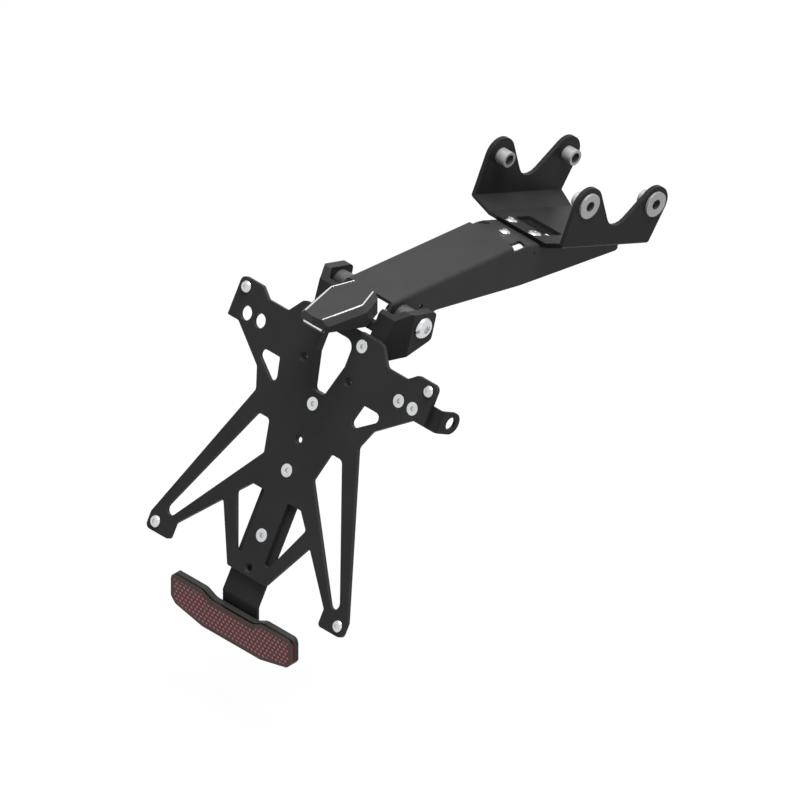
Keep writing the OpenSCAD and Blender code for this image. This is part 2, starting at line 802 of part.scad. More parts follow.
// Indicator tab: flat behind the holder, then turned away from it past its edge
module tab_profile() {
    // Seen along the holder's height: u across, and depth behind the holder's front face
    polygon(rounded([
        [tab_inner, -plate_t, 0], [tab_face, -plate_t, 2.5], [tab_face, -plate_t - tab_len, 0],
        [tab_face - tab_t, -plate_t - tab_len, 0], [tab_face - tab_t, -plate_t - tab_t, 0.5],
        [tab_inner, -plate_t - tab_t, 0]
    ]));
}
module indicator_tab() {
    hole_deep = plate_t + tab_len - tab_w / 2 - 0.8;
    color(dark_grey)
    on_holder()
    difference() {
        intersection() {
            translate([0, tab_v + tab_w / 2, 0])
                rotate([90, 0, 0])
                linear_extrude(tab_w)
                tab_profile();
            // Round end of the turned part and rounded corners of the flat part
            union() {
                translate([tab_face - tab_t - 3, tab_v, -plate_t - tab_len + tab_w / 2])
                    rotate([0, 90, 0])
                    cylinder(d = tab_w, h = tab_t + 4);
                translate([0, tab_v - tab_w / 2, -plate_t - tab_len + tab_w / 2])
                    cube([far, tab_w, far]);
            }
        }
        translate([0, tab_v, -hole_deep]) along_x(tab_face - tab_t - 5, far, tab_hole_d);
        for (u = tab_screw_u)
            translate([u, tab_v, -far / 4]) cylinder(d = flat_d + hole_gap, h = far / 2);
    }
}
module tab_screws() {
    color(steel)
    on_holder()
        for (u = tab_screw_u)
        translate([u, tab_v, 0])
        flat_screw(flat_d, flat_head_d, 3, plate_t + tab_t + nut_t + 0.5);
}
module tab_nuts() {
    color(steel)
    on_holder()
        for (u = tab_screw_u)
        translate([u, tab_v, -plate_t - tab_t - nut_t])
        hex_nut(flat_d, 8, nut_t);
}

// The four screws that hold a number plate, with their nuts
module at_corners(z) {
    on_holder()
        for (x = [-corner_x, corner_x], v = [-plate_half, plate_half])
        translate([x, v, z])
        children();
}
module corner_screws() {
    color(steel)
    at_corners(0) button_screw(button_d, button_head_d, button_head_h, 2.5, plate_t + 3.7);
}
module corner_nuts() {
    color(steel) at_corners(-plate_t - 3.2) hex_nut(button_d, 7, 3.2);
}

// Reflector: a housing with a stud in its back, and a lens on its front
function reflector_outline(inset) =
    let (
        x = reflector_w / 2 - inset,
        top = -reflector_top - inset,
        low = -reflector_top - reflector_h + inset
    )
    both([
        [18, top - 4, 8], [26, top, 8], [x - 1, top, 3], [x, top - 4, 3],
        [x, low + 10, 4], [x - 4, low + 5.5, 4], [25.5, low, 8]
    ]);
module reflector_slab(inset, front, thick) {
    translate([0, holder_centre()[0] + front + thick, holder_centre()[1]])
        rotate([90, 0, 0])
        linear_extrude(thick)
        polygon(rounded(reflector_outline(inset)));
}
module reflector_housing() {
    color(dark_grey)
    difference() {
        union() {
            reflector_slab(0, housing_front, housing_t);
            translate([0, holder_centre()[0] + housing_back - 1, holder_centre()[1] + stud_z])
                rotate([-90, 0, 0])
                cylinder(d = boss_d, h = boss_len + 1);
        }
        translate([0, holder_centre()[0] + housing_front + 1, holder_centre()[1] + stud_z])
            rotate([-90, 0, 0])
            cylinder(d = flat_d + running_gap, h = far);
    }
}
module reflector_lens() {
    color(lens_red) {
        reflector_slab(0, housing_front - lens_gap - lens_t, lens_t);
        reflector_slab(1.2, housing_front - lens_gap - bite, lens_gap + bite);
    }
}
module reflector_stud() {
    len = housing_t - 1 + boss_len + strip_t + nut_t + 1;
    color(steel)
    translate([0, holder_centre()[0] + housing_front + 1, holder_centre()[1] + stud_z])
        rotate([-90, 0, 0])
        cylinder(d = flat_d, h = len);
}
module reflector_nut() {
    color(steel)
    translate([0, holder_centre()[0] + strip_end_y + strip_t, holder_centre()[1] + stud_z])
        rotate([-90, 0, 0])
        hex_nut(flat_d, 8, nut_t);
}

// Plate lamp: a flat six-sided top, sloping long edges and an underside that rises
// towards the front, with the lens let into it
module sloped_edge(a, b) {
    translate([a[0], a[1], lamp_z])
        rotate([0, 0, atan2(b[1] - a[1], b[0] - a[0])])
        rotate([45, 0, 0])
        translate([-far / 2, -far / 2, 0])
        cube([far, far, far]);
}
function lamp_side() = [
    [lamp_nose, lamp_z, 0], [lamp_nose, lamp_z - lamp_nose_h, 0.6],
    [lamp_slope_end, lamp_seat, 4], [lamp_end, lamp_seat, 0.6], [lamp_end, lamp_z, 0]
];
module lamp_housing() {
    color(black)
    difference() {
        intersection() {
            translate([0, 0, lamp_z - 30])
                linear_extrude(30)
                polygon(rounded([
                    [0, lamp_nose, 0], [nose_half + lamp_edge, nose_y, 2],
                    [lamp_half + lamp_edge, waist_y, 3], [tail_half + lamp_edge, tail_y, 2],
                    [tail_half, lamp_end, 0], [-tail_half, lamp_end, 0],
                    [-tail_half - lamp_edge, tail_y, 2], [-lamp_half - lamp_edge, waist_y, 3],
                    [-nose_half - lamp_edge, nose_y, 2]
                ]));
            side_view(60) polygon(rounded(lamp_side()));
        }
        both_sides() {
            sloped_edge([nose_half, nose_y], [lamp_half, waist_y]);
            sloped_edge([lamp_half, waist_y], [tail_half, tail_y]);
        }
        lamp_lens_room();
        both_sides()
            translate([lamp_screw_x, lamp_screw_y, lamp_seat - 1])
            cylinder(d = lamp_screw_d + running_gap, h = 8);
    }
}
// The lens lies along the sloping underside, let into it
module lamp_lens_shape(width, deep, proud, before, len) {
    fall = atan2(lamp_z - lamp_nose_h - lamp_seat, lamp_slope_end - lamp_nose);
    translate([-width / 2, lamp_nose, lamp_z - lamp_nose_h])
        rotate([-fall, 0, 0])
        translate([0, -before, -proud])
        cube([width, before + len, deep + proud]);
}
module lamp_lens_room() {
    lamp_lens_shape(2 * nose_half + 0.2, lens_sink + 0.05, 5, 5, lamp_lens_len + 0.3);
}
module lamp_lens() {
    color(clear)
    intersection() {
        lamp_lens_shape(2 * nose_half - 0.1, lens_sink, lamp_lens_t, 0, lamp_lens_len);
        translate([-far / 2, lamp_nose + 0.1, -far]) cube([far, far, 2 * far]);
    }
}
module lamp_trim() {
    line_w = 0.9;
    inset = 0.1;
    translate([0, 0, lamp_z])
        linear_extrude(0.5)
        polygon([
            [nose_half - inset, nose_y], [lamp_half - inset, waist_y], [tail_half - inset, tail_y],
            [tail_half - inset - line_w, tail_y], [lamp_half - inset - line_w, waist_y],
            [nose_half - inset - line_w, nose_y]
        ]);
}
module lamp_trims() { color(steel) both_sides() lamp_trim(); }
module lamp_screws() {
    color(steel)
    both_sides()
        translate([lamp_screw_x, lamp_screw_y, lamp_seat - crossbar_t])
        mirror([0, 0, 1])
        button_screw(lamp_screw_d, 5.6, 1.7, 2, crossbar_t + 6);
}

subframe_bracket();
bushing_rear_right();
bushing_rear_left();
bushing_front_right();
bushing_front_left();
arm();
bracket_screws();
bracket_nuts();
arm_screw();
arm_nut();
pivot_bolt_right();
pivot_bolt_left();
spacer_right();
spacer_left();
pivot_nuts();
hinge_bracket();
plate_holder();
hinge_screws();
reflector_strip();
strip_screws();
strip_nuts();
indicator_tab();
tab_screws();
tab_nuts();
corner_screws();
corner_nuts();
reflector_housing();
reflector_lens();
reflector_stud();
reflector_nut();
lamp_housing();
lamp_lens();
lamp_trims();
lamp_screws();
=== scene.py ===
"""The looks of a motorbike tail tidy: studio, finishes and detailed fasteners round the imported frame."""

import logging
import math
from dataclasses import dataclass, field
from enum import Enum
from typing import ClassVar, Iterable, Mapping, Optional, Sequence, Union

import bmesh
import bpy
from mathutils import Matrix, Vector


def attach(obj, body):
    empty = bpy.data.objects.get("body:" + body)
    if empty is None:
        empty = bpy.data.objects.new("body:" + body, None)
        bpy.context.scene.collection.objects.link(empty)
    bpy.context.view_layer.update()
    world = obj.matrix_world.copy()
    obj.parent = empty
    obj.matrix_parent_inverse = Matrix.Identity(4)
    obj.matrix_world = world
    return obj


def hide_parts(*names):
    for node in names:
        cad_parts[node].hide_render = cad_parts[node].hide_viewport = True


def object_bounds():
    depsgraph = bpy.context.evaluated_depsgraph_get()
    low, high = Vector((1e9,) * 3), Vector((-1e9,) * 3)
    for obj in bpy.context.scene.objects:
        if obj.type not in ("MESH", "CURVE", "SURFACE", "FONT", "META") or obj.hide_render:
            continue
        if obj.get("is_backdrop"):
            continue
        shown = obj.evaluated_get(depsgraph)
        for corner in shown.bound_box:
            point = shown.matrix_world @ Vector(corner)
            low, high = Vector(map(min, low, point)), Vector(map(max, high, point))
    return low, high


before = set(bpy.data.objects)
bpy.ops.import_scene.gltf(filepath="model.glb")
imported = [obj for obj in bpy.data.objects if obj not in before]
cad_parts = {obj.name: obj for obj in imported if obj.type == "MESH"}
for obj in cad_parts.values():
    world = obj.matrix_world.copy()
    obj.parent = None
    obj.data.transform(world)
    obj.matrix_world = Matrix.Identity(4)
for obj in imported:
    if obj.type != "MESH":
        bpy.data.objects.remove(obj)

LOG = logging.getLogger("tail_tidy")
MM = 0.001
# How far the floor lies below the part at rest, in metres, which leaves room for the holder's swing
FLOOR_DROP = 0.045
Colour = tuple[float, float, float]
WHITE: Colour = (1.0, 1.0, 1.0)
# The sign of X on each side
SIDES = {"right": 1, "left": -1}


class Body(Enum):
    """The two rigid bodies of the part."""

    ARM = "arm_assembly"
    HOLDER = "holder_assembly"


class Grain(Enum):
    """The kinds of fine surface that the finishes have."""

    POWDER = "powder coat with a soft orange peel"
    MILLED = "fine cutter lines along Y under anodising"
    TURNED = "rings round an axis along X"
    PLATED = "bright plating over rolled steel"
    MOULDED = "fine moulded plastic"


class Axis(Enum):
    """The outputs of a Separate XYZ node."""

    X = 0
    Y = 1
    Z = 2


class Value:
    """A shader socket that takes part in Python expressions; each operator adds its Math node."""

    def __init__(self, graph: "Graph", socket: bpy.types.NodeSocket) -> None:
        """Keeps the socket and the graph that it belongs to."""
        self.graph = graph
        self.socket = socket

    def _math(self, operation: str, *others: "Number", first: Optional["Number"] = None) -> "Value":
        """Adds one Math node.

        Args:
            operation: The Math node's operation.
            others: What follows this value in the operation.
            first: What stands before this value, for a reflected operator.

        Returns:
            The node's result.
        """
        terms = ([first] if first is not None else []) + [self, *others]
        return self.graph.node("ShaderNodeMath", {"operation": operation}, dict(enumerate(terms)))

    def __add__(self, other: "Number") -> "Value":
        """Sum."""
        return self._math("ADD", other)

    def __radd__(self, other: "Number") -> "Value":
        """Sum, reflected."""
        return self._math("ADD", first=other)

    def __sub__(self, other: "Number") -> "Value":
        """Difference."""
        return self._math("SUBTRACT", other)

    def __rsub__(self, other: "Number") -> "Value":
        """Difference, reflected."""
        return self._math("SUBTRACT", first=other)

    def __mul__(self, other: "Number") -> "Value":
        """Product."""
        return self._math("MULTIPLY", other)

    def __rmul__(self, other: "Number") -> "Value":
        """Product, reflected."""
        return self._math("MULTIPLY", first=other)

    def __truediv__(self, other: "Number") -> "Value":
        """Quotient."""
        return self._math("DIVIDE", other)

    def __rtruediv__(self, other: "Number") -> "Value":
        """Quotient, reflected."""
        return self._math("DIVIDE", first=other)

    def __abs__(self) -> "Value":
        """Size without its sign."""
        return self._math("ABSOLUTE")

    def sine(self) -> "Value":
        """Sine of the value in radians."""
        return self._math("SINE")

    def root(self) -> "Value":
        """Square root."""
        return self._math("SQRT")

    def least(self, other: "Number") -> "Value":
        """The smaller of the two."""
        return self._math("MINIMUM", other)

    def most(self, other: "Number") -> "Value":
        """The larger of the two."""
        return self._math("MAXIMUM", other)

    def wrapped(self, pitch: float) -> "Value":
        """Distance from the nearest multiple of a pitch, with its sign.

        Args:
            pitch: The spacing of the multiples.

        Returns:
            A value from minus half a pitch to half a pitch.
        """
        return ((self / pitch + 0.5)._math("FRACT") - 0.5) * pitch

    def step(self, low: float, high: float) -> "Value":
        """Rises smoothly from 0 at low to 1 at high, or falls where low is above high.

        Args:
            low: Where the result is 0.
            high: Where the result is 1.

        Returns:
            The smooth step.
        """
        start, end, results = (low, high, (0.0, 1.0)) if low < high else (high, low, (1.0, 0.0))
        return self.graph.node(
            "ShaderNodeMapRange",
            {"interpolation_type": "SMOOTHSTEP"},
            {0: self, 1: start, 2: end, 3: results[0], 4: results[1]},
        )


Number = Union[float, Value]


class Graph:
    """One material's or world's node tree."""

    def __init__(self, tree: bpy.types.NodeTree) -> None:
        """Empties the tree."""
        self.tree = tree
        tree.nodes.clear()

    def node(
        self,
        kind: str,
        settings: Optional[Mapping[str, object]] = None,
        inputs: Optional[Mapping[Union[int, str], object]] = None,
        out: Union[int, str] = 0,
    ) -> Value:
        """Adds a node.

        Args:
            kind: The node's type.
            settings: Its properties, set before its sockets.
            inputs: A value or a link for each socket named.
            out: The output that the result stands for.

        Returns:
            That output.
        """
        made = self.tree.nodes.new(kind)
        for key, value in (settings or {}).items():
            setattr(made, key, value)
        for key, value in (inputs or {}).items():
            if isinstance(value, Value):
                self.tree.links.new(value.socket, made.inputs[key])
            else:
                made.inputs[key].default_value = value
        found = made.outputs[out] if len(made.outputs) else None
        return Value(self, found)

    def blend(self, share: Number, first: object, second: object) -> Value:
        """Mixes two colours.

        Args:
            share: How much of the second colour shows.
            first: The colour at 0.
            second: The colour at 1.

        Returns:
            The mixed colour.
        """
        return self.node("ShaderNodeMix", {"data_type": "RGBA"}, {0: share, 6: first, 7: second}, out=2)

    def along(self, where: Value, axis: Axis) -> Value:
        """One coordinate, in millimetres.

        Args:
            where: The coordinates, in metres.
            axis: Which of the three is wanted.

        Returns:
            The coordinate.
        """
        return self.node("ShaderNodeSeparateXYZ", None, {0: where}, out=axis.value) / MM

    def noise(self, where: Value, size_mm: float, detail: float = 2.0) -> Value:
        """Noise whose features have a real size.

        Args:
            where: The coordinates, in metres.
            size_mm: The size of a feature, in millimetres.
            detail: The number of finer layers.

        Returns:
            The noise, about 0.5 in the middle.
        """
        return self.node(
            "ShaderNodeTexNoise", None, {"Vector": where, "Scale": 1 / (size_mm * MM), "Detail": detail}
        )


def opaque(colour: Colour, tone: float = 1.0) -> tuple[float, float, float, float]:
    """The colour at a tone, with full alpha."""
    return (colour[0] * tone, colour[1] * tone, colour[2] * tone, 1.0)


@dataclass(frozen=True)
class Finish:
    """A surface finish, at its true scale.

    Attributes:
        name: The material's name.
        colour: The linear base colour.
        roughness: The middle of the roughness.
        grain: The kind of fine surface.
        metallic: How metallic the surface is.
        specular: The specular level.
        grain_mm: The size of one feature of the grain.
        depth_mm: The height of the grain.
        spread: The share by which the tone wanders over the surface.
        edge_mm: The width of the softened edges.
        edge_highlight_tone: How much lighter the edges are painted, partly for wear and partly as a
            painted highlight.
        coat: The weight of a clear coat.
        centre_mm: Y and Z of the axis that turned rings go round.
    """

    # The size of the broad patches and of the fine specks
    PATCH_MM: ClassVar[float] = 38.0
    SPECK_MM: ClassVar[float] = 1.7
    # How far the softened normal leans from the flat one where the worn edge with its painted highlight
    # begins, and where it is full
    EDGE_WEAR_AND_HIGHLIGHT: ClassVar[tuple[float, float]] = (0.004, 0.12)
    # How much patches, specks and wear change the roughness
    PATCH_GLOSS: ClassVar[float] = 0.16
    SPECK_GLOSS: ClassVar[float] = 0.08
    WEAR_GLOSS: ClassVar[float] = 0.06

    name: str
    colour: Colour
    roughness: float
    grain: Grain
    metallic: float = 0.0
    specular: float = 0.5
    grain_mm: float = 0.9
    depth_mm: float = 0.03
    spread: float = 0.1
    edge_mm: float = 0.35
    edge_highlight_tone: float = 1.5
    coat: float = 0.0
    centre_mm: tuple[float, float] = (0.0, 0.0)

    def height(self, graph: Graph, where: Value) -> Value:
        """The grain's height, as a share of its depth.

        Args:
            graph: The material's nodes.
            where: The coordinates on the object.

        Returns:
            The height.
        """
        fine = graph.noise(where, self.grain_mm * 0.3, 3.0)
        if self.grain is Grain.MILLED:
            lines = graph.node(
                "ShaderNodeMapping", None, {"Vector": where, "Scale": (1.0, 0.03, 1.0)}
            )
            return graph.noise(lines, self.grain_mm, 2.0) * 0.8 + fine * 0.2
        if self.grain is Grain.TURNED:
            rings = (self.from_axis(graph, where) * (2 * math.pi / self.grain_mm)).sine()
            return rings * 0.35 + fine * 0.5
        if self.grain is Grain.PLATED:
            rolled = graph.node("ShaderNodeMapping", None, {"Vector": where, "Scale": (1.0, 1.0, 0.2)})
            return graph.noise(rolled, self.grain_mm, 3.0) * 0.6 + fine * 0.4
        return graph.noise(where, self.grain_mm, 1.0) * 0.65 + fine * 0.35

    def from_axis(self, graph: Graph, where: Value) -> Value:
        """Distance from the axis that turned rings go round, in millimetres.

        Args:
            graph: The material's nodes.
            where: The coordinates on the object.

        Returns:
            The distance.
        """
        y = graph.along(where, Axis.Y) - self.centre_mm[0]
        z = graph.along(where, Axis.Z) - self.centre_mm[1]
        return (y * y + z * z).root()

    def material(self) -> bpy.types.Material:
        """Makes the material.

        Returns:
            The finished material.
        """
        made = bpy.data.materials.new(self.name)
        made.use_nodes = True
        graph = Graph(made.node_tree)
        where = graph.node("ShaderNodeTexCoord", out="Object")
        soft_edge = graph.node("ShaderNodeBevel", {"samples": 4}, {"Radius": self.edge_mm * MM})
        flat = graph.node("ShaderNodeNewGeometry", out="Normal")
        alike = graph.node(
            "ShaderNodeVectorMath", {"operation": "DOT_PRODUCT"}, {0: soft_edge, 1: flat}, out="Value"
        )
        patches = graph.noise(where, self.PATCH_MM, 3.0)
        specks = graph.noise(where, self.SPECK_MM, 2.0)
        # Painted highlight and wear: edges are painted lighter, partly for wear and partly as a painted
        # highlight where rounded edges catch the light; the same mask lowers the roughness
        wear_and_highlight = (1 - alike).step(*self.EDGE_WEAR_AND_HIGHLIGHT) * (0.45 + patches * 0.9)
        darker, lighter = opaque(self.colour, 1 - self.spread), opaque(self.colour, 1 + self.spread)
        tone = graph.blend(patches.step(0.3, 0.7), darker, lighter)
        tone = graph.blend(specks.step(0.45, 0.75) * 0.5, tone, opaque(self.colour, 1 + 0.6 * self.spread))
        tone = graph.blend(wear_and_highlight.least(1.0), tone, opaque(self.colour, self.edge_highlight_tone))
        gloss = self.roughness + (patches - 0.5) * self.PATCH_GLOSS + (specks - 0.5) * self.SPECK_GLOSS
        gloss = gloss - wear_and_highlight * self.WEAR_GLOSS
        height = self.height(graph, where)
        tone, height = self.pattern(graph, where, tone, height)
        relief = graph.node(
            "ShaderNodeBump",
            None,
            {"Strength": 0.6, "Distance": self.depth_mm * MM, "Height": height, "Normal": soft_edge},
        )
        shader = graph.node(
            "ShaderNodeBsdfPrincipled",
            None,
            {
                "Base Color": tone,
                "Roughness": gloss.most(0.04),
                "Metallic": self.metallic,
                "Specular IOR Level": self.specular,
                "Coat Weight": self.coat,
                "Coat Roughness": 0.06,
                "Normal": relief,
            },
        )
        graph.node("ShaderNodeOutputMaterial", None, {"Surface": shader})
        return made

    def pattern(self, graph: Graph, where: Value, tone: Value, height: Value) -> tuple[Value, Value]:
        """A plain finish has no pattern beyond its grain.

        Args:
            graph: The material's nodes.
            where: The coordinates on the object.
            tone: The colour so far.
            height: The height so far.

        Returns:
            The colour and the height.
        """
        return tone, height


@dataclass(frozen=True)
class PrismFinish(Finish):
    """A red lens with rows of moulded prisms inside a plain border.

    Attributes:
        deep: The red of the prisms' slopes.
        seam: The colour between the prisms.
        bright: The painted highlight in the prisms' middles.
        side: The painted shade on the lens's edges all round.
        rim: The red of its two ends.
        front_mm: Y of the lens's front face.
        pitch_mm: The spacing of the prisms in a row.
        half_w_mm: Half the width of the patterned field.
        top_mm: Z of the field's top edge.
        low_mm: Z of the field's bottom edge.
        blur_mm: Half the width of the field's soft border.
        dip_mm: How far the top edge dips in the middle.
        dip_reach_mm: Where the dip begins and where it is full, from the middle.
        flare_mm: Where the bottom edge begins to rise, from the middle.
        flare: How steeply it rises.
        dot_mm: Where a painted highlight in a prism's middle ends and where it is full, from that middle.
        seam_mm: Where a seam begins and where it is full, from the nearest middle.
        end_mm: Where the ends' red begins and where it is full, from the middle.
        skin_mm: Where the front face ends and the side's painted shade is full, behind the front.
    """

    deep: Colour = (0.25, 0.075, 0.08)
    seam: Colour = (0.12, 0.038, 0.04)
    bright: Colour = (0.90, 0.46, 0.48)
    side: Colour = (0.010, 0.007, 0.007)
    rim: Colour = (0.34, 0.035, 0.05)
    front_mm: float = -274.4
    pitch_mm: float = 3.3
    half_w_mm: float = 50.0
    top_mm: float = -191.4
    low_mm: float = -213.0
    blur_mm: float = 0.3
    dip_mm: float = 4.0
    dip_reach_mm: tuple[float, float] = (27.0, 18.0)
    flare_mm: float = 25.0
    flare: float = 0.22
    dot_mm: tuple[float, float] = (1.05, 0.45)
    seam_mm: tuple[float, float] = (1.4, 1.75)
    end_mm: tuple[float, float] = (52.4, 52.8)
    skin_mm: tuple[float, float] = (0.2, 0.4)

    def pattern(self, graph: Graph, where: Value, tone: Value, height: Value) -> tuple[Value, Value]:
        """Adds the prisms' slopes and the painted highlights in their middles.

        Args:
            graph: The material's nodes.
            where: The coordinates on the object.
            tone: The colour so far.
            height: The height so far.

        Returns:
            The colour and the height with the prisms.
        """
        x = graph.along(where, Axis.X)
        z = graph.along(where, Axis.Z) - self.top_mm
        rows = self.pitch_mm * math.sqrt(3)
        reach = []
        for shift in (0.0, 0.5):
            across = (x + shift * self.pitch_mm).wrapped(self.pitch_mm)
            down = (z + shift * rows).wrapped(rows)
            reach.append((across * across + down * down).root())
        near = reach[0].least(reach[1])
        side = abs(x)
        dip = side.step(*self.dip_reach_mm) * self.dip_mm
        rise = (side - self.flare_mm).most(0.0) * self.flare
        low = self.low_mm - self.top_mm
        field_mask = (
            side.step(self.half_w_mm + self.blur_mm, self.half_w_mm - self.blur_mm)
            * (z + dip).step(self.blur_mm, -self.blur_mm)
            * (z - rise).step(low - self.blur_mm, low + self.blur_mm)
        )
        # Painted highlight: the middle of each prism is painted pale, as the light that the prisms send
        # back
        painted_glints = near.step(*self.dot_mm) * field_mask
        seams = near.step(*self.seam_mm) * field_mask
        # Painted shade: the lens's faces behind its front face are painted near black, save the red at its
        # two ends
        behind = (graph.along(where, Axis.Y) - self.front_mm).step(*self.skin_mm)
        tone = graph.blend(behind, tone, opaque(self.side))
        tone = graph.blend(behind * side.step(*self.end_mm) * 0.7, tone, opaque(self.rim))
        tone = graph.blend(field_mask, tone, opaque(self.deep))
        tone = graph.blend(seams * 0.8, tone, opaque(self.seam))
        tone = graph.blend(painted_glints * 0.85, tone, opaque(self.bright))
        return tone, height * 0.2 + (1 - near * 0.45).most(0.0) * field_mask * 3.0


@dataclass(frozen=True)
class CoverFinish(Finish):
    """A clear lamp cover with a dark lower lip at its end away from the arm.

    Attributes:
        lip: The lip's colour.
        lip_top_mm: Z of the lip's upper edge.
        lip_start_mm: Y at which the lip begins, towards the rear of the bike.
        blur_mm: Half the width of the lip's soft border.
    """

    lip: Colour = (0.012, 0.012, 0.012)
    lip_top_mm: float = -10.3
    lip_start_mm: float = -201.6
    blur_mm: float = 0.1

    def pattern(self, graph: Graph, where: Value, tone: Value, height: Value) -> tuple[Value, Value]:
        """Adds the dark lip.

        Args:
            graph: The material's nodes.
            where: The coordinates on the object.
            tone: The colour so far.
            height: The height so far.

        Returns:
            The colour with the lip, and the height.
        """
        beyond = graph.along(where, Axis.Y).step(self.lip_start_mm + 2 * self.blur_mm, self.lip_start_mm)
        under = (graph.along(where, Axis.Z) - self.lip_top_mm).step(self.blur_mm, -self.blur_mm)
        return graph.blend(beyond * under, tone, opaque(self.lip)), height


@dataclass(frozen=True)
class TurnedFinish(Finish):
    """A turned metal whose bore lies in its own shade.

    Attributes:
        bore_mm: The radius of the bore.
        bore_tone: How bright the bore's wall is.
        shade_mm: Where the shade ends and where it is full, beyond the bore's radius.
    """

    bore_mm: float = 3.25
    bore_tone: float = 0.3
    shade_mm: tuple[float, float] = (0.25, 0.1)

    def pattern(self, graph: Graph, where: Value, tone: Value, height: Value) -> tuple[Value, Value]:
        """Darkens the bore's wall.

        Args:
            graph: The material's nodes.
            where: The coordinates on the object.
            tone: The colour so far.
            height: The height so far.

        Returns:
            The colour with the darker bore, and the height.
        """
        ends, full = (self.bore_mm + more for more in self.shade_mm)
        inside = self.from_axis(graph, where).step(ends, full)
        return graph.blend(inside, tone, opaque(self.colour, self.bore_tone)), height


class Finishes:
    """Every finish of the object, made once."""

    TABLE: Sequence[Finish] = (
        # Painted shade: the bracket has the same black powder coat as the arm, painted darker to stand in
        # for the shade inside the bracket
        Finish("bracket powder coat with painted shade", (0.026, 0.026, 0.027), 0.46, Grain.POWDER,
               specular=0.09, edge_highlight_tone=2.2),
        Finish("arm powder coat", (0.048, 0.048, 0.049), 0.46, Grain.POWDER, specular=0.1, edge_highlight_tone=1.8),
        Finish("holder powder coat", (0.043, 0.043, 0.044), 0.5, Grain.POWDER,
               specular=0.09, edge_highlight_tone=1.6),
        Finish("strip powder coat", (0.040, 0.040, 0.041), 0.5, Grain.POWDER, specular=0.08),
        Finish("tab powder coat", (0.030, 0.030, 0.031), 0.46, Grain.POWDER, specular=0.09, edge_highlight_tone=1.8),
        Finish("fork anodising", (0.031, 0.031, 0.032), 0.4, Grain.MILLED, specular=0.09,
               grain_mm=0.35, depth_mm=0.015, edge_highlight_tone=2.4),
        Finish("lamp anodising", (0.052, 0.052, 0.053), 0.38, Grain.MILLED, specular=0.1,
               grain_mm=0.3, depth_mm=0.012, edge_highlight_tone=1.6),
        CoverFinish("lamp cover", (0.93, 0.94, 0.95), 0.2, Grain.MOULDED, metallic=0.75, coat=0.6,
                    grain_mm=1.2, depth_mm=0.02, spread=0.03, edge_highlight_tone=1.0),
        Finish("bright line", (0.93, 0.93, 0.94), 0.14, Grain.MILLED, metallic=1.0,
               grain_mm=0.2, depth_mm=0.006, spread=0.03, edge_mm=0.1, edge_highlight_tone=1.0),
        Finish("bright hardware", (0.62, 0.63, 0.64), 0.27, Grain.PLATED, metallic=1.0,
               grain_mm=0.5, depth_mm=0.012, edge_mm=0.2, edge_highlight_tone=1.25),
        Finish("reflector back", (0.050, 0.050, 0.048), 0.42, Grain.MOULDED, specular=0.1,
               grain_mm=0.5, depth_mm=0.02, edge_highlight_tone=1.8),
        PrismFinish("reflector red", (0.13, 0.088, 0.074), 0.26, Grain.MOULDED, specular=0.12,
                    grain_mm=1.5, depth_mm=0.12, spread=0.06, edge_highlight_tone=1.5),
        *(TurnedFinish(f"turned {end} bushings", (0.46, 0.46, 0.47), 0.45, Grain.TURNED, metallic=0.35,
                       grain_mm=0.45, depth_mm=0.012, edge_mm=0.25, edge_highlight_tone=1.3, centre_mm=centre)
          for end, centre in (("rear", (0.0, 0.0)), ("front", (57.9, -27.4)))),
        Finish("turned spacers", (0.10, 0.10, 0.102), 0.4, Grain.TURNED, metallic=0.4,
               grain_mm=0.4, depth_mm=0.012, edge_mm=0.25, edge_highlight_tone=1.4, centre_mm=(-145.6, -20.3)),
    )

    def __init__(self) -> None:
        """Makes every material of the table."""
        self.made = {finish.name: finish.material() for finish in self.TABLE}

    def dress(self, node: str, finish: str) -> None:
        """Gives a carried-over node its finish.

        Args:
            node: The node's name.
            finish: The finish's name.
        """
        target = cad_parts[node]
        if not target.material_slots:
            target.data.materials.append(self.made[finish])
        for place in target.material_slots:
            place.material = self.made[finish]
        LOG.info("dressed %s in %s", node, finish)


@dataclass(frozen=True)
class Ring:
    """One closed ring of a turned or six-sided shape, in millimetres.

    Attributes:
        half: The radius, or half the width across the flats where it is six-sided.
        z: The height along the axis.
        six_sided: Whether the ring is a hexagon.
        drawn: How far the hexagon's corners are drawn along the axis, per millimetre beyond half.
    """

    half: float
    z: float
    six_sided: bool = False
    drawn: float = 0.0

    def point(self, angle: float) -> Vector:
        """The ring's point at an angle.

        Args:
            angle: The angle about the axis, in radians.

        Returns:
            The point, in millimetres.
        """
        sixth = math.pi / 3
        reach = self.half / math.cos(angle % sixth - sixth / 2) if self.six_sided else self.half
        rise = self.drawn * (reach - self.half)
        return Vector((reach * math.cos(angle), reach * math.sin(angle), self.z + rise))


